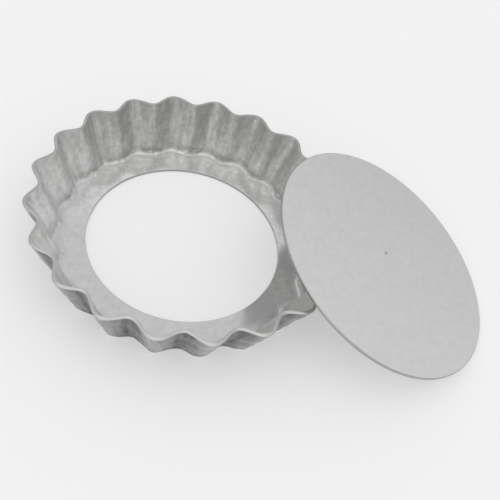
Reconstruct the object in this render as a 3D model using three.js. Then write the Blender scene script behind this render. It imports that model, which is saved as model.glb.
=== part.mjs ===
// Mini tart pan: a fluted ring pressed from aluminium sheet, and its loose base, a flat round blank.
// The base is taken out of the ring. Its underside leans on the rim, and its edge stands on the table.
// Millimetres, +Z up, with the table at z = 0. The base leans down towards +X.
import * as THREE from "three";
import { toCreasedNormals } from "three/addons/utils/BufferGeometryUtils.js";

// Ring
const RIM_DIAMETER = 100; // outside, over the crests of the flutes
const RING_HEIGHT = 19.3;
const RING_SHEET = 1; // thickness of the sheet
const WALL_FLARE = 19.5; // degrees that the wall leans out from upright
const BEND_RADIUS = 0.8; // inside of the bend between the wall and the ledge
const FLUTE_COUNT = 20;
const RIM_FLUTE_DEPTH = 3.8; // from crest to valley, at the rim
const FOOT_FLUTE_DEPTH = 2.3; // from crest to valley, at the bend

// Loose base
const BASE_SHEET = 1; // thickness of the sheet
const BASE_EDGE_BREAK = 0.3; // bevel along both edges of the blank
const SEAT_CLEARANCE = 0.4; // between the flat of the underside and the foot of the bend, on the ledge
const SEAT_WIDTH = 7.5; // ledge under the edge of the base, when the base lies on it

// Base leaning on the ring
const LEAN_OVERHANG = 26; // how far the base reaches past the rim, along its underside
const LEAN_GAP = 0.3; // between the underside and the rim

// Facets
const FLUTE_STEPS = 12; // around one flute
const BEND_STEPS = 4; // round the bend
const BASE_STEPS = 120; // around the base
const CREASE_ANGLE = 30; // degrees, where two faces meet in an edge

// The sheet turns up through this angle from the ledge to the wall.
const wallTurn = THREE.MathUtils.degToRad(90 - WALL_FLARE);

// Middle line of the ring's sheet, halfway between crest and valley, worked inwards from the rim.
const rimRadius = (RIM_DIAMETER - RIM_FLUTE_DEPTH - RING_SHEET * Math.sin(wallTurn)) / 2;
const rimHeight = RING_HEIGHT - (RING_SHEET / 2) * Math.cos(wallTurn);
const bendMiddle = BEND_RADIUS + RING_SHEET / 2;
const bendCentreHeight = RING_SHEET / 2 + bendMiddle;
const bendTopHeight = bendCentreHeight - bendMiddle * Math.cos(wallTurn);
const wallReach = (rimHeight - bendTopHeight) / Math.tan(wallTurn);
const ledgeRadius = rimRadius - wallReach - bendMiddle * Math.sin(wallTurn);

// The base drops in between the valleys of the flutes, and the ledge reaches in under its edge.
const baseFlatRadius = ledgeRadius - FOOT_FLUTE_DEPTH / 2 - SEAT_CLEARANCE;
const baseRadius = baseFlatRadius + BASE_EDGE_BREAK;
const holeRadius = baseRadius - SEAT_WIDTH;

// The middle line's stations from the hole to the rim. The turn is how far the sheet has bent up there.
function ringStations() {
  const stations = [{ radius: holeRadius, height: RING_SHEET / 2, turn: 0, depth: 0 }];
  for (let step = 0; step <= BEND_STEPS; step++) {
    const turn = (wallTurn * step) / BEND_STEPS;
    stations.push({
      radius: ledgeRadius + bendMiddle * Math.sin(turn),
      height: bendCentreHeight - bendMiddle * Math.cos(turn),
      turn,
      depth: FOOT_FLUTE_DEPTH,
    });
  }
  stations.push({ radius: rimRadius, height: rimHeight, turn: wallTurn, depth: RIM_FLUTE_DEPTH });
  return stations;
}

// One face of the sheet, half its thickness to the outside (side 1) or to the inside (side -1).
function sheetFace(stations, side) {
  const half = (side * RING_SHEET) / 2;
  return stations.map(({ radius, height, turn, depth }) => ({
    radius,
    depth,
    height: height - half * Math.cos(turn),
    offset: half * Math.sin(turn),
  }));
}

// Moves a vertex of the plain ring to its place on the flutes. One crest points along +X.
// The offset is laid off square to the wavy line, so the sheet is as thick on the flanks as on the crests.
function flutePoint({ radius, depth, offset }, angle) {
  const middle = radius + (depth / 2) * Math.cos(FLUTE_COUNT * angle);
  const slope = -FLUTE_COUNT * (depth / 2) * Math.sin(FLUTE_COUNT * angle);
  const square = angle - Math.atan2(slope, middle);
  return new THREE.Vector2(
    middle * Math.cos(angle) + offset * Math.cos(square),
    middle * Math.sin(angle) + offset * Math.sin(square),
  );
}

// A lathe turns about Y, and the pan stands along Z.
function turnedAboutZ(points, steps) {
  return new THREE.LatheGeometry(points, steps).rotateX(Math.PI / 2);
}

// The sheet's closed outline is turned into a plain ring, and its vertices are then moved onto the flutes.
function flutedRingGeometry() {
  const stations = ringStations();
  const outside = sheetFace(stations, 1);
  const inside = sheetFace(stations, -1).reverse();
  const outline = [...outside, ...inside, outside[0]];
  const profile = outline.map(({ radius, offset, height }) => new THREE.Vector2(radius + offset, height));
  const geometry = turnedAboutZ(profile, FLUTE_COUNT * FLUTE_STEPS);
  const position = geometry.getAttribute("position");
  for (let vertex = 0; vertex < position.count; vertex++) {
    const angle = Math.atan2(position.getY(vertex), position.getX(vertex));
    const point = flutePoint(outline[vertex % outline.length], angle);
    position.setXY(vertex, point.x, point.y);
  }
  return geometry;
}

// The blank stands on its underside, with its centre on the axis.
function looseBaseGeometry() {
  const profile = [
    new THREE.Vector2(0, 0),
    new THREE.Vector2(baseFlatRadius, 0),
    new THREE.Vector2(baseRadius, BASE_EDGE_BREAK),
    new THREE.Vector2(baseRadius, BASE_SHEET - BASE_EDGE_BREAK),
    new THREE.Vector2(baseFlatRadius, BASE_SHEET),
    new THREE.Vector2(0, BASE_SHEET),
  ];
  return turnedAboutZ(profile, BASE_STEPS);
}

function sheetPiece(name, geometry, color, roughness) {
  const material = new THREE.MeshStandardMaterial({ color, roughness, metalness: 1 });
  const mesh = new THREE.Mesh(toCreasedNormals(geometry, THREE.MathUtils.degToRad(CREASE_ANGLE)), material);
  mesh.name = name;
  return mesh;
}

// A frame that stands on the table where the base does, turned so that the base clears the rim by the gap.
// The rim's outer edge is what the base leans on.
function leaningFrame() {
  const edgeRadius = RIM_DIAMETER / 2;
  const edgeHeight = RING_HEIGHT - RING_SHEET * Math.cos(wallTurn);
  const reach = 2 * baseFlatRadius - LEAN_OVERHANG;
  const lean = Math.atan2(LEAN_GAP, reach) + Math.asin(edgeHeight / Math.hypot(reach, LEAN_GAP));
  const frame = new THREE.Group();
  frame.position.x = edgeRadius + reach * Math.cos(lean) + LEAN_GAP * Math.sin(lean);
  frame.rotation.y = lean;
  return frame;
}

const flutedRing = sheetPiece("fluted_ring", flutedRingGeometry(), 0xb4b6b8, 0.34);
const looseBase = sheetPiece("loose_base", looseBaseGeometry(), 0xc3c4c5, 0.4);

const leaning = leaningFrame();
looseBase.position.x = -baseFlatRadius;
leaning.add(looseBase);

const pan = new THREE.Group();
pan.add(flutedRing, leaning);

// The origin is on the table, under the middle of the pan and its base.
const middle = new THREE.Box3().setFromObject(pan, true).getCenter(new THREE.Vector3());
pan.position.set(-middle.x, -middle.y, 0);

const tartPan = new THREE.Group();
tartPan.add(pan);

export default tartPan;
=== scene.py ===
"""Mini tart pan: a fluted ring pressed from aluminium sheet, with its loose base leaning on the rim.

Laid out as a Blender add-on. Run as a script, it builds the pan around its measured frame, in metres.
"""

import math
from collections import namedtuple

import bmesh
import bpy
from mathutils import Matrix, Vector, noise


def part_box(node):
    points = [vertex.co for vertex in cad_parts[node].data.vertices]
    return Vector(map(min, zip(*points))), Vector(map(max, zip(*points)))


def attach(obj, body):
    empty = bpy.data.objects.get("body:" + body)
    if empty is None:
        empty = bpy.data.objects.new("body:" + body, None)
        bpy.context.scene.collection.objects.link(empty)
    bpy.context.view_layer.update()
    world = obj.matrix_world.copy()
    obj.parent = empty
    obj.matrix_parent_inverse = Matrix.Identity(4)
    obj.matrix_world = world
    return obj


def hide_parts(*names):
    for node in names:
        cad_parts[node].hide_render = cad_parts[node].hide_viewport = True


bl_info = {
    "name": "Mini Tart Pan",
    "version": (1, 0, 0),
    "blender": (4, 5, 0),
    "location": "3D View > Sidebar > Tart Pan",
    "description": "Builds a fluted tart ring and its loose base around their measured frame",
    "category": "Object",
}

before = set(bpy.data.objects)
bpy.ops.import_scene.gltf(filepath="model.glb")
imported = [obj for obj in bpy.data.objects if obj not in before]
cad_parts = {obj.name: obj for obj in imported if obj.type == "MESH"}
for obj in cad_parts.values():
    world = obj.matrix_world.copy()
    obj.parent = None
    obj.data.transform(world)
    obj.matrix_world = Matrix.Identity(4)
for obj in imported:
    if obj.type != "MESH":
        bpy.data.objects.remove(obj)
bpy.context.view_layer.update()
ring_low, ring_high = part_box("fluted_ring")
base_low, base_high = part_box("loose_base")

MM = 0.001

# Axis of the ring, on the table
RING_FOOT = Vector(((ring_low.x + ring_high.x) / 2, 0, 0))

# Mesh steps
FLUTE_STEPS = 48  # around one flute
LEDGE_STEPS = 9  # across the ledge
BEND_STEPS = 10  # round the bend
WALL_STEPS = 20  # up the wall
BASE_RINGS = 50  # from the middle of the base to its edge
BASE_SPOKES = 240  # around the base
FLOOR_SIDES = 96  # around the floor
EDGE_SEGMENTS = 2  # round a cut edge
CUT_ANGLE = math.radians(50)  # two faces that meet at more than this meet in a cut edge
EDGE_MARGIN = 0.1 * MM  # last row of faces beside a rounded edge, which keeps the sheet flat up to it
SEAM_GAP = 0.001 * MM  # vertices nearer than this are one


def hex_colour(text):
    """A colour written in sRGB hex, as linear red, green and blue."""
    shares = [int(text[start:start + 2], 16) / 255 for start in (1, 3, 5)]
    return [share / 12.92 if share <= 0.04045 else ((share + 0.055) / 1.055) ** 2.4 for share in shares]


def length(name, description, default):
    """A size that a user may change, in metres."""
    return bpy.props.FloatProperty(
        name=name, description=description, default=default, min=0, unit="LENGTH", precision=5,
    )


def colour(name, description, text):
    """A colour that a user may change, written in sRGB hex."""
    return bpy.props.FloatVectorProperty(
        name=name, description=description, default=hex_colour(text), min=0, max=1, size=3, subtype="COLOR",
    )


class TartRingProperties(bpy.types.PropertyGroup):
    """Sizes and colours of the fluted ring."""

    rim_diameter: length("Rim diameter", "Outside, over the crests of the flutes", ring_high.y - ring_low.y)
    height: length("Height", "From the table to the rim", ring_high.z)
    sheet: length("Sheet", "Thickness of the aluminium sheet", 1 * MM)
    bend_radius: length("Bend radius", "Inside of the bend between wall and ledge", 1.8 * MM)
    rim_flute_depth: length("Flute depth at the rim", "From crest to valley", 3.8 * MM)
    foot_flute_depth: length("Flute depth at the foot", "From crest to valley", 2.3 * MM)
    seat_width: length("Seat width", "Ledge under the edge of the base, when it lies there", 7.5 * MM)
    edge_round: length("Edge rounding", "Rounding of the cut edges", 0.06 * MM)
    wrinkle_height: length("Wrinkle height", "Height of the draw wrinkles on the wall", 0.07 * MM)
    wrinkle_spacing: length("Wrinkle spacing", "Distance between the draw wrinkles", 1.7 * MM)
    ledge_waves: length("Ledge waves", "Height of the ledge's shallow waves", 0.04 * MM)
    flutes: bpy.props.IntProperty(
        name="Flutes", description="Number of flutes around the wall", default=20, min=3,
    )
    flare: bpy.props.FloatProperty(
        name="Flare", description="How far the wall leans out from upright", default=math.radians(19.5),
        subtype="ANGLE",
    )
    metal: colour("Aluminium", "Clean pressed sheet, on the inside of the wall", "#efefef")
    scuffed: colour("Scuffed aluminium", "Ledge, scuffed by the base that lies on it", "#cccdcd")
    # Also the colour of the painted shade on one side of the wall.
    dull_and_shade: colour("Stain", "Pressed sheet dulled by oxide and drawing oil", "#b9b9b6")
    # Painted shade: this colour darkens the crease at the foot of the wall.
    crease_shade: colour("Grime", "Burnt residue in the crease at the foot of the wall", "#7e7f7a")
    # Painted shade: the outside's two colours are darkened, for the shaded floor that the outside of the
    # wall mirrors.
    shaded_outside_metal: colour("Rubbed aluminium", "Outside of the wall, burnished by the die", "#a1a1a1")
    shaded_outside_dull: colour("Rubbed stain", "Outside of the wall, where it is dulled", "#505050")
    cut: colour("Cut edge", "Burnished part of a cut edge", "#b6b7b6")
    # Partly painted shade: on the hole's edge this darker tint stands for the shade where the edge meets the
    # floor.
    torn: colour("Torn edge", "Torn lower part of the punched edge", "#a4a4a3")


class TartBaseProperties(bpy.types.PropertyGroup):
    """Sizes and colours of the loose base."""

    diameter: length("Diameter", "Across the blank", base_high.y - base_low.y)
    sheet: length("Sheet", "Thickness of the aluminium sheet", 1 * MM)
    edge_round: length("Edge rounding", "Rounding of the blank's edges", 0.3 * MM)
    metal: colour("Aluminium", "Clean rolled sheet", "#ebebeb")
    cloud: colour("Cloud", "Rolled sheet, slightly dulled", "#d6d6d6")
    pit: colour("Pit", "Specks in the rolled sheet", "#7c7c7c")
    cut: colour("Cut edge", "Burnished part of the blank's edge", "#b8b8b8")
    torn: colour("Torn edge", "Torn lower part of the blank's edge", "#a8a8a8")


class TartStageProperties(bpy.types.PropertyGroup):
    """Floor and light."""

    floor: colour("Floor", "Colour of the paper that the pan stands on", "#f5f5f5")
    floor_radius: length("Floor radius", "Reach of the paper around the pan", 6)
    key_strength: bpy.props.FloatProperty(
        name="Key strength", description="Light of the key lamp", default=0.25,
    )
    key_spread: bpy.props.FloatProperty(
        name="Key spread", description="Apparent width of the key lamp", default=math.radians(60),
        subtype="ANGLE",
    )
    sky_mean: bpy.props.FloatProperty(
        name="Sky at the horizon", description="Soft light from the sides", default=0.7,
    )
    sky_rise: bpy.props.FloatProperty(
        name="Rise of the sky", description="How much brighter the soft light is where it comes from",
        default=0.3,
    )


def set_inputs(tree, node, inputs):
    """Fills a node's inputs, each with a value or with a link from a socket or a node's first output."""
    for name, value in inputs.items():
        if isinstance(value, bpy.types.Node):
            value = next(output for output in value.outputs if output.enabled)
        if isinstance(value, bpy.types.NodeSocket):
            tree.links.new(value, node.inputs[name])
        else:
            node.inputs[name].default_value = value


def add_node(tree, kind, inputs=None, **settings):
    """Adds a shader node with its settings and its inputs."""
    node = tree.nodes.new(kind)
    for name, value in settings.items():
        setattr(node, name, value)
    set_inputs(tree, node, inputs or {})
    return node


def new_material(name):
    """A material with only its output and a shader."""
    material = bpy.data.materials.new(name)
    material.use_nodes = True
    tree = material.node_tree
    return material, tree, tree.nodes["Principled BSDF"]


# Patterns of the pressed sheet
NOISE_LOW = 0.25  # nearly all values of a noise lie above this
NOISE_HIGH = 0.75  # and below this
STREAK_SPACING = 2 * MM  # between the streaks that the tools rub into the wall
STREAK_STRETCH = 0.18  # how fast they change up the wall, in shares of how fast they change around it
STREAK_SHARE = 0.35  # how far a streak is duller or cleaner than the wall around it
CLOUD_SIZE = 1.8 * MM  # patches of dull oxide
LEDGE_CLOUDS = 1.2  # how strong the patches are on the ledge, in shares of those on the wall
LEAST_DULL = 0.1  # dullness that the wall has at least
GRIT_SIZE = 0.4 * MM  # fine tooth of the sheet, drawn coarser than it is so that it shows
GRIT_SHARE = 0.25  # height of the grit, in shares of the bump's height
BUMP_HEIGHT = 0.012 * MM
WALL_START = 1.4  # height at which the wall's finish has taken over from the ledge's, in sheets
LEDGE_ROUGHNESS = 0.11
WORN_ROUGHNESS = 0.16  # how much rougher the dulled patches are
CREASE_ROUGHNESS = 0.3  # how much rougher the crease is
CREASE_HIGHLIGHT_START = 0.6  # how near the crease the painted highlight begins, where 1 is in it
CREASE_HIGHLIGHT_SHARE = 0.45  # how much of the dullness the painted highlight takes off there

# A side of the ring: its direction, and the cosine of the angle from it at which its effect begins
RingSide = namedtuple("RingSide", "direction start")
SHADED_WALL_SIDE = RingSide(Vector((0.94, -0.34, 0)), 0.5)  # painted shade: where the wall is darkest
LIT_WALL_SIDE = RingSide(Vector((-1, -0.09, 0)), 0.7)  # painted light: where the wall is lightest

# Painted light: where the ledge is kept lighter than its scuffed tint, towards the rear and the right
LIT_LEDGE_SIDES = (
    RingSide(Vector((-0.2, 0.98, 0)), -0.1),
    RingSide(Vector((0.99, -0.14, 0)), 0.92),
)

# One face of the pressed sheet. It is dull by these shares on the ledge, at the foot of the wall and at the
# rim, and by so much more in the valleys, as painted shade in the hollows of the flutes. A patch is duller
# or cleaner than the wall around it by the clouds' share. The wall is darker on one side, as painted shade,
# and lighter on the other, as painted light, by the uneven share.
SheetFace = namedtuple("SheetFace", "name roughness ledge_dull foot_dull rim_dull valley_dull clouds uneven")
INSIDE = SheetFace(
    name="pressed_aluminium", roughness=0.42, ledge_dull=0.25, foot_dull=0.48, rim_dull=0.93, valley_dull=0,
    clouds=0.42, uneven=0.5,
)
# The outside: its colours are darkened as painted shade, and its valley share is painted shade in the
# hollows.
OUTSIDE = SheetFace(
    name="shaded_outside_aluminium", roughness=0.2, ledge_dull=0.2, foot_dull=0.1, rim_dull=0.15, valley_dull=0.7,
    clouds=0.2, uneven=0,
)

# A point of the ring, as nodes and sockets: its place from the ring's foot, the direction outwards through
# it, its height, and whether it lies on the wall (1) or on the ledge (0)
RingPlace = namedtuple("RingPlace", "centred outward height on_wall")


def ring_place(tree, sizes):
    """The place of a point of the ring."""
    coordinates = add_node(tree, "ShaderNodeTexCoord")
    centred = add_node(tree, "ShaderNodeMapping", {
        "Vector": coordinates.outputs["Object"], "Location": -RING_FOOT,
    })
    level = add_node(tree, "ShaderNodeVectorMath", {0: centred, 1: (1, 1, 0)}, operation="MULTIPLY")
    outward = add_node(tree, "ShaderNodeVectorMath", {0: level}, operation="NORMALIZE")
    height = add_node(tree, "ShaderNodeSeparateXYZ", {"Vector": centred}).outputs["Z"]
    on_wall = add_node(tree, "ShaderNodeMapRange", {
        "Value": height, "From Min": sizes.sheet, "From Max": WALL_START * sizes.sheet,
    })
    return RingPlace(centred, outward, height, on_wall)


def share_towards(tree, place, side):
    """How far round towards a side of the ring: 0 up to its start, and 1 in its direction."""
    towards = add_node(
        tree, "ShaderNodeVectorMath", {0: place.outward, 1: side.direction}, operation="DOT_PRODUCT",
    )
    return add_node(tree, "ShaderNodeMapRange", {"Value": towards, "From Min": side.start})


def wall_streaks(tree, sizes, place):
    """Streaks up the wall, duller above 0 and cleaner below it. The ledge has none."""
    climb = add_node(
        tree, "ShaderNodeVectorMath", {0: place.centred, 1: (0, 0, STREAK_STRETCH)}, operation="MULTIPLY",
    )
    around = add_node(
        tree, "ShaderNodeVectorMath", {0: place.outward, 1: (sizes.rim_diameter / 2,) * 3, 2: climb},
        operation="MULTIPLY_ADD",
    )
    streak = add_node(tree, "ShaderNodeTexNoise", {
        "Vector": around, "Scale": 1 / STREAK_SPACING, "Detail": 3, "Roughness": 0.55,
    })
    streaked = add_node(tree, "ShaderNodeMapRange", {
        "Value": streak.outputs["Fac"], "From Min": NOISE_LOW, "From Max": NOISE_HIGH,
        "To Min": -STREAK_SHARE, "To Max": STREAK_SHARE,
    })
    return add_node(tree, "ShaderNodeMath", {0: streaked, 1: place.on_wall}, operation="MULTIPLY")


def sheet_clouds(tree, face, place):
    """Patches of oxide, duller above 0 and cleaner below it."""
    cloud = add_node(tree, "ShaderNodeTexNoise", {
        "Vector": place.centred, "Scale": 1 / CLOUD_SIZE, "Detail": 5, "Roughness": 0.75,
    })
    clouded = add_node(tree, "ShaderNodeMapRange", {
        "Value": cloud.outputs["Fac"], "From Min": NOISE_LOW, "From Max": NOISE_HIGH,
        "To Min": -face.clouds, "To Max": face.clouds,
    })
    strength = add_node(tree, "ShaderNodeMapRange", {"Value": place.on_wall, "To Min": LEDGE_CLOUDS})
    return add_node(tree, "ShaderNodeMath", {0: clouded, 1: strength}, operation="MULTIPLY")


def dullness_with_painted_shade(tree, sizes, face, place):
    """How dull the sheet is under its streaks and clouds: most at the rim, plus painted shade on one side
    and in the valleys, and painted light on the other side.
    """
    rising = add_node(tree, "ShaderNodeMapRange", {
        "Value": place.height, "From Max": sizes.height, "To Min": face.foot_dull, "To Max": face.rim_dull,
    })
    # Painted shade and light: the wall is darker on one side and lighter on the other, by the face's uneven
    # share.
    with_side_shade = add_node(
        tree, "ShaderNodeMath", {0: share_towards(tree, place, SHADED_WALL_SIDE), 1: face.uneven, 2: rising},
        operation="MULTIPLY_ADD",
    )
    uneven = add_node(
        tree, "ShaderNodeMath", {0: share_towards(tree, place, LIT_WALL_SIDE), 1: -face.uneven, 2: with_side_shade},
        operation="MULTIPLY_ADD",
    )
    wall_dull = add_node(tree, "ShaderNodeMath", {0: uneven, 1: LEAST_DULL}, operation="MAXIMUM")
    dull = add_node(tree, "ShaderNodeMapRange", {
        "Value": place.on_wall, "To Min": face.ledge_dull, "To Max": wall_dull,
    })
    # Painted shade: the valleys are darkened by the face's valley share, for the shade in the hollows of the
    # flutes.
    valley = add_node(tree, "ShaderNodeAttribute", attribute_name="valley").outputs["Fac"]
    return add_node(
        tree, "ShaderNodeMath", {0: valley, 1: face.valley_dull, 2: dull}, operation="MULTIPLY_ADD",
    )


def bare_sheet(tree, sizes, clean, place):
    """Colour of the sheet where nothing dulls it: clean on the wall, and scuffed on most of the ledge, with
    painted light that keeps the ledge lighter towards the rear and the right.
    """
    clean_wall_and_lit_ledge = place.on_wall
    for side in LIT_LEDGE_SIDES:
        lit_side = share_towards(tree, place, side)
        clean_wall_and_lit_ledge = add_node(tree, "ShaderNodeMath", {0: clean_wall_and_lit_ledge, 1: lit_side}, operation="MAXIMUM")
    return add_node(tree, "ShaderNodeMix", {
        "Factor": clean_wall_and_lit_ledge, "A": (*sizes.scuffed, 1), "B": (*clean, 1),
    }, data_type="RGBA")


def pressed_aluminium(sizes, face, clean, dull_and_shade):
    """Aluminium sheet, drawn and pressed between punch and die.

    It gives the eye a dull, broken mirror, with streaks up the wall left by the tools, cloudy patches of
    oxide that thicken towards the rim, painted shade that darkens the wall to one side and painted light on
    the other, a painted highlight along the bend, painted shade in the valleys of the outside, and painted
    shade in the crease at the foot of the wall.
    """
    material, tree, shader = new_material(face.name)
    place = ring_place(tree, sizes)
    streaks = wall_streaks(tree, sizes, place)
    # The dullness added here carries the painted shade of the wall's side and of the outside's valleys.
    oxide = add_node(
        tree, "ShaderNodeMath",
        {0: sheet_clouds(tree, face, place), 1: dullness_with_painted_shade(tree, sizes, face, place)}, operation="ADD",
    )
    mottled = add_node(tree, "ShaderNodeMath", {0: oxide, 1: streaks}, operation="ADD", use_clamp=True)
    crease = add_node(tree, "ShaderNodeAttribute", attribute_name="crease").outputs["Fac"]
    # Painted highlight: the sheet is less dull along the crease.
    under_crease_highlight = add_node(tree, "ShaderNodeMapRange", {
        "Value": crease, "From Min": CREASE_HIGHLIGHT_START, "To Min": 1, "To Max": 1 - CREASE_HIGHLIGHT_SHARE,
    })
    dulled = add_node(tree, "ShaderNodeMath", {0: mottled, 1: under_crease_highlight}, operation="MULTIPLY")
    sheet_tint = add_node(tree, "ShaderNodeMix", {
        "Factor": dulled, "A": bare_sheet(tree, sizes, clean, place), "B": (*dull_and_shade, 1),
    }, data_type="RGBA")
    # Painted shade in the crease, mixed over the sheet's tint.
    crease_shade_mask = add_node(tree, "ShaderNodeAttribute", attribute_name="crease_shade_mask").outputs["Fac"]
    tint = add_node(tree, "ShaderNodeMix", {
        "Factor": crease_shade_mask, "A": sheet_tint, "B": (*sizes.crease_shade, 1),
    }, data_type="RGBA")
    sheet_rough = add_node(tree, "ShaderNodeMapRange", {
        "Value": place.on_wall, "To Min": LEDGE_ROUGHNESS, "To Max": face.roughness,
    })
    worn_rough = add_node(
        tree, "ShaderNodeMath", {0: dulled, 1: WORN_ROUGHNESS, 2: sheet_rough}, operation="MULTIPLY_ADD",
    )
    rough = add_node(
        tree, "ShaderNodeMath", {0: crease, 1: CREASE_ROUGHNESS, 2: worn_rough}, operation="MULTIPLY_ADD",
    )
    grit = add_node(tree, "ShaderNodeTexNoise", {
        "Vector": place.centred, "Scale": 1 / GRIT_SIZE, "Detail": 2,
    })
    relief = add_node(
        tree, "ShaderNodeMath", {0: grit.outputs["Fac"], 1: GRIT_SHARE, 2: streaks},
        operation="MULTIPLY_ADD",
    )
    bump = add_node(tree, "ShaderNodeBump", {"Height": relief, "Distance": BUMP_HEIGHT})
    set_inputs(tree, shader, {"Base Color": tint, "Roughness": rough, "Normal": bump, "Metallic": 1})
    return material


def sheet_coordinates(tree, place, lean):
    """Coordinates in the sheet's own frame, for a sheet at a place that leans by an angle."""
    coordinates = add_node(tree, "ShaderNodeTexCoord")
    return add_node(tree, "ShaderNodeMapping", {
        "Vector": coordinates.outputs["Object"], "Location": place, "Rotation": (0, lean, 0),
    }, vector_type="TEXTURE")


TEAR_HEIGHT = 0.65  # share of a punched edge, from below, that is torn and not burnished; on the ring's hole edge its darker tint is partly painted shade where the edge meets the floor
SHEAR_SPACING = 0.3 * MM  # between the fine lines across a cut edge, drawn coarser than they are
SHEAR_SMOOTHEST = 0.2  # roughness between those lines
SHEAR_ROUGHEST = 0.35  # roughness on them


def sheared_aluminium(sizes, name, place, lean):
    """Cut edge of aluminium sheet, sheared between punch and die.

    It gives the eye a bright satin line, and where the punch broke through, a dark torn band under it, which
    on the ring's hole edge is partly painted shade where the edge meets the floor.
    """
    material, tree, shader = new_material(name)
    on_sheet = sheet_coordinates(tree, place, lean)
    split = add_node(tree, "ShaderNodeSeparateXYZ", {"Vector": on_sheet})
    burnished = add_node(tree, "ShaderNodeMapRange", {
        "Value": split.outputs["Z"], "From Min": TEAR_HEIGHT * sizes.sheet, "From Max": sizes.sheet,
    })
    tint = add_node(tree, "ShaderNodeMix", {
        "Factor": burnished, "A": (*sizes.torn, 1), "B": (*sizes.cut, 1),
    }, data_type="RGBA")
    lines = add_node(tree, "ShaderNodeTexNoise", {
        "Vector": on_sheet, "Scale": 1 / SHEAR_SPACING, "Detail": 2,
    })
    rough = add_node(tree, "ShaderNodeMapRange", {
        "Value": lines.outputs["Fac"], "To Min": SHEAR_SMOOTHEST, "To Max": SHEAR_ROUGHEST,
    })
    bump = add_node(tree, "ShaderNodeBump", {"Height": lines.outputs["Fac"], "Distance": BUMP_HEIGHT})
    set_inputs(tree, shader, {"Base Color": tint, "Roughness": rough, "Normal": bump, "Metallic": 1})
    return material


# Patterns of the rolled sheet
GRAIN_SPACING = 0.45 * MM  # between the lines that the rolls leave, drawn coarser than they are
GRAIN_STRETCH = 0.1  # how fast they change along the rolling direction, in shares of how fast across it
GRAIN_SHARE = 0.45  # strength of the lines, in shares of the clouds'
PAINTED_LIGHT_FRONT = -0.33  # painted light: dullness taken off at the blank's edge towards -Y
PAINTED_SHADE_REAR = 0.17  # painted shade: dullness added at its edge towards +Y
CLEAN_WEAR = 0.45  # grain and clouds together, where the sheet is cleanest
DULL_WEAR = 1  # and where it is dullest
CLEAN_ROUGHNESS = 0.36  # roughness where the sheet is cleanest
DULL_ROUGHNESS = 0.46  # and where it is dullest
PIT_SPACING = 13 * MM  # between the places that could hold a pit
PIT_SIZE = 0.28 * MM  # from its middle to its edge
PIT_SHARE = 0.35  # of those places that do hold one
NICK_PLACE = Vector((0.1, 1.4, 1)) * MM  # a nick near the middle of the blank
NICK_SIZE = 0.7 * MM  # from its middle to its edge


def sheet_marks(tree, on_blank):
    """Dark marks in the rolled sheet, from 0 to 1: scattered pits and one nick."""
    cells = add_node(tree, "ShaderNodeTexVoronoi", {"Vector": on_blank, "Scale": 1 / PIT_SPACING})
    pit_depth = add_node(tree, "ShaderNodeMapRange", {
        "Value": cells.outputs["Distance"], "From Max": PIT_SIZE / PIT_SPACING, "To Min": 1, "To Max": 0,
    })
    chance = add_node(tree, "ShaderNodeSeparateColor", {"Color": cells.outputs["Color"]}).outputs["Red"]
    chosen = add_node(tree, "ShaderNodeMath", {0: chance, 1: PIT_SHARE}, operation="LESS_THAN")
    pit = add_node(tree, "ShaderNodeMath", {0: pit_depth, 1: chosen}, operation="MULTIPLY")
    from_nick = add_node(tree, "ShaderNodeVectorMath", {0: on_blank, 1: NICK_PLACE}, operation="DISTANCE")
    nick = add_node(tree, "ShaderNodeMapRange", {
        "Value": from_nick, "From Max": NICK_SIZE, "To Min": 1, "To Max": 0,
    })
    return add_node(tree, "ShaderNodeMath", {0: pit, 1: nick}, operation="MAXIMUM")


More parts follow.
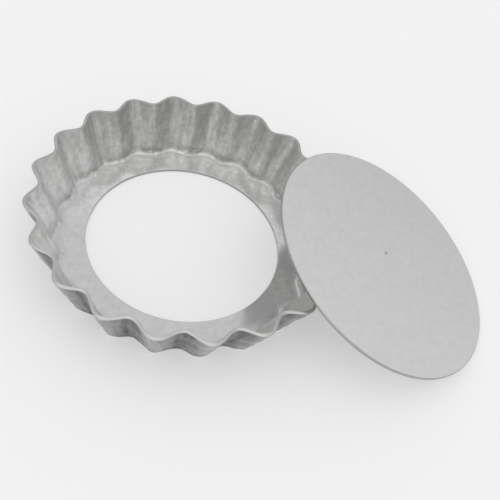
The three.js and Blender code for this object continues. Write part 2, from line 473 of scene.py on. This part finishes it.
def rolled_aluminium(sizes, place, lean):
    """Aluminium sheet in mill finish, as it leaves the rolls.

    It gives the eye a soft even sheen, with faint straight grain, slight clouds, a few dark pits, and
    painted light and shade, lighter towards the blank's edge at -Y and darker towards +Y.
    """
    material, tree, shader = new_material("rolled_aluminium")
    on_blank = sheet_coordinates(tree, place, lean)
    rolled_out = add_node(
        tree, "ShaderNodeVectorMath", {0: on_blank, 1: (GRAIN_STRETCH, 1, 1)}, operation="MULTIPLY",
    )
    grain = add_node(tree, "ShaderNodeTexNoise", {
        "Vector": rolled_out, "Scale": 1 / GRAIN_SPACING, "Detail": 3, "Roughness": 0.6,
    })
    cloud = add_node(tree, "ShaderNodeTexNoise", {
        "Vector": on_blank, "Scale": 1 / CLOUD_SIZE, "Detail": 4, "Roughness": 0.65,
    })
    worn = add_node(
        tree, "ShaderNodeMath", {0: grain.outputs["Fac"], 1: GRAIN_SHARE, 2: cloud.outputs["Fac"]},
        operation="MULTIPLY_ADD",
    )
    split = add_node(tree, "ShaderNodeSeparateXYZ", {"Vector": on_blank})
    # Painted light and shade: the blank is lighter towards its edge at -Y and darker towards +Y.
    painted_gradient = add_node(tree, "ShaderNodeMapRange", {
        "Value": split.outputs["Y"], "From Min": -sizes.diameter / 2, "From Max": sizes.diameter / 2,
        "To Min": PAINTED_LIGHT_FRONT, "To Max": PAINTED_SHADE_REAR,
    })
    clouded = add_node(tree, "ShaderNodeMath", {0: worn, 1: painted_gradient}, operation="ADD")
    sheet_tint = add_node(tree, "ShaderNodeMix", {
        "Factor": clouded, "A": (*sizes.metal, 1), "B": (*sizes.cloud, 1),
    }, data_type="RGBA")
    tint = add_node(tree, "ShaderNodeMix", {
        "Factor": sheet_marks(tree, on_blank), "A": sheet_tint, "B": (*sizes.pit, 1),
    }, data_type="RGBA")
    rough = add_node(tree, "ShaderNodeMapRange", {
        "Value": worn, "From Min": CLEAN_WEAR, "From Max": DULL_WEAR,
        "To Min": CLEAN_ROUGHNESS, "To Max": DULL_ROUGHNESS,
    })
    bump = add_node(tree, "ShaderNodeBump", {"Height": worn, "Distance": BUMP_HEIGHT})
    set_inputs(tree, shader, {"Base Color": tint, "Roughness": rough, "Normal": bump, "Metallic": 1})
    return material


PAPER_ROUGHNESS = 0.9
EVEN_SHARE = 0.4  # share of the paper's light that the pan doesn't shade, where the paper is seen


def floor_paper(sizes):
    """Matt seamless paper, lit through in part.

    It gives the eye an even pale ground with a light, soft shadow.
    """
    material, tree, shader = new_material("floor_paper")
    set_inputs(tree, shader, {
        "Base Color": (*sizes.floor, 1), "Roughness": PAPER_ROUGHNESS, "Specular IOR Level": 0,
    })
    rays = add_node(tree, "ShaderNodeLightPath")
    seen = rays.outputs["Is Camera Ray"]
    for kind in ("Is Glossy Ray", "Is Transmission Ray"):
        seen = add_node(tree, "ShaderNodeMath", {0: seen, 1: rays.outputs[kind]}, operation="MAXIMUM")
    even_share = add_node(tree, "ShaderNodeMath", {0: seen, 1: EVEN_SHARE}, operation="MULTIPLY")
    even = add_node(tree, "ShaderNodeEmission", {"Color": (*sizes.floor, 1), "Strength": 1})
    paper = add_node(tree, "ShaderNodeMixShader", {0: even_share, 1: shader, 2: even})
    set_inputs(tree, tree.nodes["Material Output"], {"Surface": paper})
    material.cycles.emission_sampling = "NONE"
    return material


def finished_object(name, bm, materials):
    """Turns a bmesh into an object at the origin, smooth and with its materials."""
    mesh = bpy.data.meshes.new(name)
    for face in bm.faces:
        face.smooth = True
    bm.to_mesh(mesh)
    bm.free()
    for material in materials:
        mesh.materials.append(material)
    piece = bpy.data.objects.new(name, mesh)
    bpy.context.scene.collection.objects.link(piece)
    return piece


def give_thickness(piece, sheet, edge_round):
    """Gives a sheet its thickness to both sides, and rounds its cut edges.

    The first material is for the side that the sheet's faces point to, the last one for the cut edges, and
    one between them for the other side.
    """
    solidify = piece.modifiers.new("Sheet", "SOLIDIFY")
    solidify.thickness = sheet
    solidify.offset = 0
    solidify.use_even_offset = True
    solidify.use_quality_normals = True
    solidify.material_offset = len(piece.data.materials) - 2
    solidify.material_offset_rim = len(piece.data.materials) - 1
    bevel = piece.modifiers.new("Cut edges", "BEVEL")
    bevel.width = edge_round
    bevel.segments = EDGE_SEGMENTS
    bevel.material = len(piece.data.materials) - 1
    bevel.limit_method = "ANGLE"
    bevel.angle_limit = CUT_ANGLE


def steps(count):
    """Even steps from 0 to 1, without the two ends."""
    return [step / count for step in range(1, count)]


def draw_line(bm, points):
    """Joins points into a line of vertices, and returns the vertices."""
    vertices = [bm.verts.new(point) for point in points]
    for start, end in zip(vertices, vertices[1:]):
        bm.edges.new((start, end))
    return vertices


def spin_about_z(bm, count):
    """Turns a line of vertices once round the Z axis, and closes it."""
    bmesh.ops.spin(
        bm, geom=bm.verts[:] + bm.edges[:], cent=(0, 0, 0), axis=(0, 0, 1), dvec=(0, 0, 0),
        angle=math.tau, steps=count, use_merge=True, use_duplicate=False,
    )
    bmesh.ops.remove_doubles(bm, verts=bm.verts[:], dist=SEAM_GAP)
    bmesh.ops.recalc_face_normals(bm, faces=bm.faces[:])


# A point on the middle line of the ring's sheet: the flutes' depth there, how far up the wall it lies,
# how near the middle of the ledge, how near the crease between the two, and how much painted shade it can
# take
SHAPE_LAYERS = ("depth", "climb", "ledge", "crease", "holds")
Station = namedtuple("Station", ("radius", "height", *SHAPE_LAYERS), defaults=[0] * len(SHAPE_LAYERS))

CREASE_ON_LEDGE = 2.5 * MM  # how far the crease's dull zone reaches onto the ledge
CREASE_ON_WALL = 2 * MM  # how far it reaches up the wall


def ring_stations(sizes):
    """The middle of the ring's sheet from the hole to the rim, halfway between crest and valley."""
    turn = math.pi / 2 - sizes.flare
    bend = sizes.bend_radius + sizes.sheet / 2
    bend_height = sizes.sheet / 2 + bend
    rim_radius = (sizes.rim_diameter - sizes.rim_flute_depth - sizes.sheet * math.sin(turn)) / 2
    rim_height = sizes.height - sizes.sheet / 2 * math.cos(turn)
    wall_foot_height = bend_height - bend * math.cos(turn)
    wall_foot_radius = rim_radius - (rim_height - wall_foot_height) / math.tan(turn)
    ledge_radius = wall_foot_radius - bend * math.sin(turn)
    hole_radius = base_high.y - sizes.seat_width
    stations = []
    edge_row = sizes.edge_round + EDGE_MARGIN
    for share in (0, edge_row / (ledge_radius - hole_radius), *steps(LEDGE_STEPS)):
        radius = hole_radius + (ledge_radius - hole_radius) * share
        depth = sizes.foot_flute_depth * share
        ledge = math.sin(math.pi * share)
        crease = max(0, 1 - (ledge_radius - radius) / CREASE_ON_LEDGE)
        stations.append(Station(radius, sizes.sheet / 2, depth, ledge=ledge, crease=crease))
    for share in (0, *steps(BEND_STEPS)):
        radius = ledge_radius + bend * math.sin(turn * share)
        height = bend_height - bend * math.cos(turn * share)
        stations.append(Station(radius, height, sizes.foot_flute_depth, crease=1, holds=(1 + share) / 2))
    wall_length = (rim_height - wall_foot_height) / math.sin(turn)
    for share in (0, *steps(WALL_STEPS), 1 - edge_row / wall_length, 1):
        radius = wall_foot_radius + (rim_radius - wall_foot_radius) * share
        height = wall_foot_height + (rim_height - wall_foot_height) * share
        depth = sizes.foot_flute_depth + (sizes.rim_flute_depth - sizes.foot_flute_depth) * share
        crease = max(0, 1 - (height - wall_foot_height) / CREASE_ON_WALL)
        stations.append(Station(radius, height, depth, climb=share, crease=crease, holds=crease))
    return stations


# Shape of the flutes, and what the press leaves on the sheet
FOOT_SHARPNESS = 0.35  # of the flutes at the foot, where 0 is round, as at the rim, and 1 a zigzag
ZIGZAG_WAVES = (3, 5)  # shorter waves that sharpen a flute, in waves to a flute
RIM_UNEVENNESS = 0.03  # by how much one flute is deeper or shallower than another, at the rim
FOOT_UNEVENNESS = 0.25  # the same, at the foot
UNEVEN_PACE = 2.2  # how fast that changes around the ring
DEEP_SIDE = Vector((0.9, -0.45, 0))  # direction of the side where the flutes are deepest
WRINKLE_STRETCH = 14  # a wrinkle's length up the wall, in spacings
WRINKLE_START = 0.2  # share of the wall's height above which the wrinkles have their full height
PUCKER_SIZE = 4.5 * MM  # of the shallow dents in the wall
PUCKER_HEIGHT = 0.4 * MM  # of the deepest of them
CREASE_WOBBLE = 0.3 * MM  # how far the crease strays from its line
WOBBLE_SIZE = 3 * MM  # along the crease, from one stray to the next
WAVE_SIZE = 9 * MM  # of the ledge's shallow waves

# Painted shade in the crease: a thin film, with spots on it
CREASE_SHADE_SIDE = Vector((-0.2, 0.9, 0))  # direction of the side that holds most of it
CREASE_SHADE_AROUND = 0.6  # strength of the residue a quarter turn from there
CREASE_SHADE_MOST = 0.5  # share of the metal that it hides at most
SHADE_FILM_SHARE = 0.12  # share that the film hides
SPOT_SIZE = 1.6 * MM  # from one spot to the next
SPOT_SHARE = 0.1  # share that a spot adds on a crest
VALLEY_SPOT_SHARE = 0.35  # how much more it adds in a valley
SPOT_MEAN = 0.5  # mean strength of the spots
SPOT_SWING = 1.5  # how far their strength strays from that


def flute_wave(sizes, angle, climb):
    """The flutes around the ring, from -1 in a valley to 1 on a crest."""
    turn = sizes.flutes * angle
    sharpness = FOOT_SHARPNESS * (1 - climb)
    zigzag = math.cos(turn) + sharpness * sum(math.cos(wave * turn) / wave ** 2 for wave in ZIGZAG_WAVES)
    return zigzag / (1 + sharpness * sum(1 / wave ** 2 for wave in ZIGZAG_WAVES))


def crease_shade_share(place, outward, valley):
    """How much painted shade the crease takes: most on one side and where a valley meets the ledge, in
    spots.
    """
    side = max(0, CREASE_SHADE_AROUND + outward.dot(CREASE_SHADE_SIDE))
    spots = SPOT_MEAN + SPOT_SWING * noise.noise(place / SPOT_SIZE)
    crease_shade_mask = side * (SHADE_FILM_SHARE + (SPOT_SHARE + VALLEY_SPOT_SHARE * valley) * spots)
    return min(CREASE_SHADE_MOST, max(0, crease_shade_mask))


def press_flutes(bm, sizes):
    """Moves the vertices of the plain ring onto the flutes, and lays the wrinkles and waves over them."""
    layers = bm.verts.layers.float
    for vertex in bm.verts:
        angle = math.atan2(vertex.co.y, vertex.co.x)
        outward = Vector((math.cos(angle), math.sin(angle), 0))
        on_rim = outward * sizes.rim_diameter / 2
        climb = vertex[layers["climb"]]
        unevenness = FOOT_UNEVENNESS + (RIM_UNEVENNESS - FOOT_UNEVENNESS) * climb
        uneven = 1 + unevenness * (outward.dot(DEEP_SIDE) + noise.noise(outward * UNEVEN_PACE))
        flute = vertex[layers["depth"]] / 2 * uneven * flute_wave(sizes, angle, climb)
        pucker = PUCKER_HEIGHT * math.sin(math.pi * climb) * noise.noise(vertex.co / PUCKER_SIZE)
        wrinkle_spot = on_rim / sizes.wrinkle_spacing
        wrinkle_spot.z = vertex.co.z / (WRINKLE_STRETCH * sizes.wrinkle_spacing)
        wrinkle = min(1, climb / WRINKLE_START) * sizes.wrinkle_height * noise.noise(wrinkle_spot)
        wobble = CREASE_WOBBLE * vertex[layers["crease"]] * noise.noise(on_rim / WOBBLE_SIZE)
        wave = vertex[layers["ledge"]] * sizes.ledge_waves * (1 + noise.noise(vertex.co / WAVE_SIZE)) / 2
        valley = (1 - math.cos(sizes.flutes * angle)) / 2
        vertex[layers["valley"]] = valley
        vertex[layers["crease_shade_mask"]] = vertex[layers["holds"]] * crease_shade_share(vertex.co, outward, valley)
        vertex.co += outward * (flute + wrinkle + pucker + wobble)
        vertex.co.z += wave


class TARTPAN_OT_fluted_ring(bpy.types.Operator):
    """Press the fluted ring from sheet: ledge, bend and wall"""

    bl_idname = "tart_pan.fluted_ring"
    bl_label = "Fluted Ring"

    def execute(self, context):
        sizes = context.scene.tart_ring
        bm = bmesh.new()
        layers = bm.verts.layers.float
        for name in (*SHAPE_LAYERS, "valley", "crease_shade_mask"):
            layers.new(name)
        stations = ring_stations(sizes)
        vertices = draw_line(bm, [(station.radius, 0, station.height) for station in stations])
        for vertex, station in zip(vertices, stations):
            for name in SHAPE_LAYERS:
                vertex[layers[name]] = getattr(station, name)
        spin_about_z(bm, sizes.flutes * FLUTE_STEPS)
        press_flutes(bm, sizes)
        bmesh.ops.translate(bm, verts=bm.verts[:], vec=RING_FOOT)
        ring = finished_object("pressed_ring", bm, [
            pressed_aluminium(sizes, OUTSIDE, sizes.shaded_outside_metal, sizes.shaded_outside_dull),
            pressed_aluminium(sizes, INSIDE, sizes.metal, sizes.dull_and_shade),
            sheared_aluminium(sizes, "sheared_rim_aluminium", RING_FOOT, 0),
        ])
        give_thickness(ring, sizes.sheet, sizes.edge_round)
        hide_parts("fluted_ring")
        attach(ring, "ring")
        return {"FINISHED"}


def leaning_angle(sizes):
    """How far the base leans from level, which follows from its height."""
    across = sizes.diameter - 2 * sizes.edge_round
    return math.asin(base_high.z / math.hypot(across, sizes.sheet)) - math.atan2(sizes.sheet, across)


def leaning_place(sizes):
    """Where the base leans, with its lower edge on the table."""
    across = sizes.diameter - 2 * sizes.edge_round
    lean = leaning_angle(sizes)
    upright = sizes.sheet - sizes.edge_round
    foot = base_high.x - sizes.edge_round * math.cos(lean) - upright * math.sin(lean)
    return (
        Matrix.Translation((foot, 0, 0))
        @ Matrix.Rotation(lean, 4, "Y")
        @ Matrix.Translation((-across / 2, 0, 0))
    )


class TARTPAN_OT_loose_base(bpy.types.Operator):
    """Cut the loose base from sheet and lean it on the ring"""

    bl_idname = "tart_pan.loose_base"
    bl_label = "Loose Base"

    def execute(self, context):
        sizes = context.scene.tart_base
        bm = bmesh.new()
        radius = sizes.diameter / 2
        edge_row = sizes.edge_round + EDGE_MARGIN
        shares = (0, *steps(BASE_RINGS), 1 - edge_row / radius, 1)
        draw_line(bm, [(radius * share, 0, sizes.sheet / 2) for share in shares])
        spin_about_z(bm, BASE_SPOKES)
        lean = leaning_angle(sizes)
        place = leaning_place(sizes)
        bmesh.ops.transform(bm, matrix=place, verts=bm.verts[:])
        base = finished_object("blanked_base", bm, [
            rolled_aluminium(sizes, place.to_translation(), lean),
            sheared_aluminium(sizes, "sheared_blank_aluminium", place.to_translation(), lean),
        ])
        give_thickness(base, sizes.sheet, sizes.edge_round)
        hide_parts("loose_base")
        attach(base, "base")
        return {"FINISHED"}


# Camera of the photograph, in millimetres from the foot of the ring's axis and in pixels of a square image
IMAGE_SIDE = 500
FOCAL_LENGTH = 684.3  # in pixels
IMAGE_AXIS = (200, 200)  # pixel that the camera looks straight at
CAMERA_PLACE = Vector((6.1, -141.8, 172.1))
CAMERA_TURN = math.radians(1.4)  # about the upright
CAMERA_DOWN = math.radians(46.88)  # below level
CAMERA_ROLL = math.radians(12.42)  # about the camera's own axis
NEAR_CLIP = 10 * MM  # nothing nearer is drawn


def add_camera(scene):
    """A camera where the photograph was taken from."""
    data = bpy.data.cameras.new("photo_camera")
    data.lens = FOCAL_LENGTH / IMAGE_SIDE * data.sensor_width
    data.shift_x = 0.5 - IMAGE_AXIS[0] / IMAGE_SIDE
    data.shift_y = IMAGE_AXIS[1] / IMAGE_SIDE - 0.5
    data.clip_start = NEAR_CLIP
    camera = bpy.data.objects.new("photo_camera", data)
    tilt = Matrix.Rotation(math.pi / 2 - CAMERA_DOWN, 4, "X")
    turn = Matrix.Rotation(CAMERA_TURN, 4, "Z")
    roll = Matrix.Rotation(CAMERA_ROLL, 4, "Z")
    camera.matrix_world = Matrix.Translation(RING_FOOT + CAMERA_PLACE * MM) @ turn @ tilt @ roll
    scene.collection.objects.link(camera)
    scene.camera = camera


def add_floor(sizes):
    """A round sheet of paper under the pan."""
    bm = bmesh.new()
    bmesh.ops.create_circle(bm, cap_ends=True, radius=sizes.floor_radius, segments=FLOOR_SIDES)
    floor = finished_object("paper_floor", bm, [floor_paper(sizes)])


KEY_FROM = Vector((0, -0.25, 0.97))  # direction towards the key lamp
SKY_FROM = Vector((-0.15, -0.3, 0.94))  # direction in which the soft light is brightest
WHITE = (1, 1, 1, 1)


def add_light(scene, sizes):
    """A broad key lamp overhead, and a soft sky all round."""
    lamp = bpy.data.lights.new("key_lamp", "SUN")
    lamp.energy = sizes.key_strength
    lamp.angle = sizes.key_spread
    key = bpy.data.objects.new("key_lamp", lamp)
    key.rotation_mode = "QUATERNION"
    key.rotation_quaternion = KEY_FROM.to_track_quat("Z", "Y")
    scene.collection.objects.link(key)
    world = bpy.data.worlds.new("soft_sky")
    world.use_nodes = True
    scene.world = world
    tree = world.node_tree
    direction = add_node(tree, "ShaderNodeTexCoord")
    towards = add_node(
        tree, "ShaderNodeVectorMath", {0: direction.outputs["Generated"], 1: SKY_FROM * sizes.sky_rise},
        operation="DOT_PRODUCT",
    )
    sky = add_node(tree, "ShaderNodeMath", {0: towards, 1: sizes.sky_mean}, operation="ADD")
    set_inputs(tree, tree.nodes["Background"], {"Color": WHITE, "Strength": sky})


class TARTPAN_OT_stage(bpy.types.Operator):
    """Set the camera, the paper floor and the soft light"""

    bl_idname = "tart_pan.stage"
    bl_label = "Stage"

    def execute(self, context):
        sizes = context.scene.tart_stage
        add_camera(context.scene)
        add_floor(sizes)
        add_light(context.scene, sizes)
        context.scene.view_settings.view_transform = "Standard"
        return {"FINISHED"}


class TARTPAN_PT_panel(bpy.types.Panel):
    """Sizes, colours and steps of the tart pan"""

    bl_idname = "TARTPAN_PT_panel"
    bl_label = "Mini Tart Pan"
    bl_space_type = "VIEW_3D"
    bl_region_type = "UI"
    bl_category = "Tart Pan"

    def draw(self, context):
        for group, operator in (
            (context.scene.tart_stage, TARTPAN_OT_stage),
            (context.scene.tart_ring, TARTPAN_OT_fluted_ring),
            (context.scene.tart_base, TARTPAN_OT_loose_base),
        ):
            box = self.layout.box()
            for name in group.__annotations__:
                box.prop(group, name)
            box.operator(operator.bl_idname)


CLASSES = (
    TartRingProperties,
    TartBaseProperties,
    TartStageProperties,
    TARTPAN_OT_stage,
    TARTPAN_OT_fluted_ring,
    TARTPAN_OT_loose_base,
    TARTPAN_PT_panel,
)


def register():
    """Registers the classes and puts the properties on the scene."""
    for each in CLASSES:
        bpy.utils.register_class(each)
    bpy.types.Scene.tart_ring = bpy.props.PointerProperty(type=TartRingProperties)
    bpy.types.Scene.tart_base = bpy.props.PointerProperty(type=TartBaseProperties)
    bpy.types.Scene.tart_stage = bpy.props.PointerProperty(type=TartStageProperties)


def unregister():
    """Takes the properties off the scene and unregisters the classes."""
    del bpy.types.Scene.tart_stage
    del bpy.types.Scene.tart_base
    del bpy.types.Scene.tart_ring
    for each in reversed(CLASSES):
        bpy.utils.unregister_class(each)


def main():
    """Registers the add-on's classes, and builds the stage and the pan."""
    register()
    bpy.ops.tart_pan.stage()
    bpy.ops.tart_pan.fluted_ring()
    bpy.ops.tart_pan.loose_base()


if __name__ == "__main__":
    main()
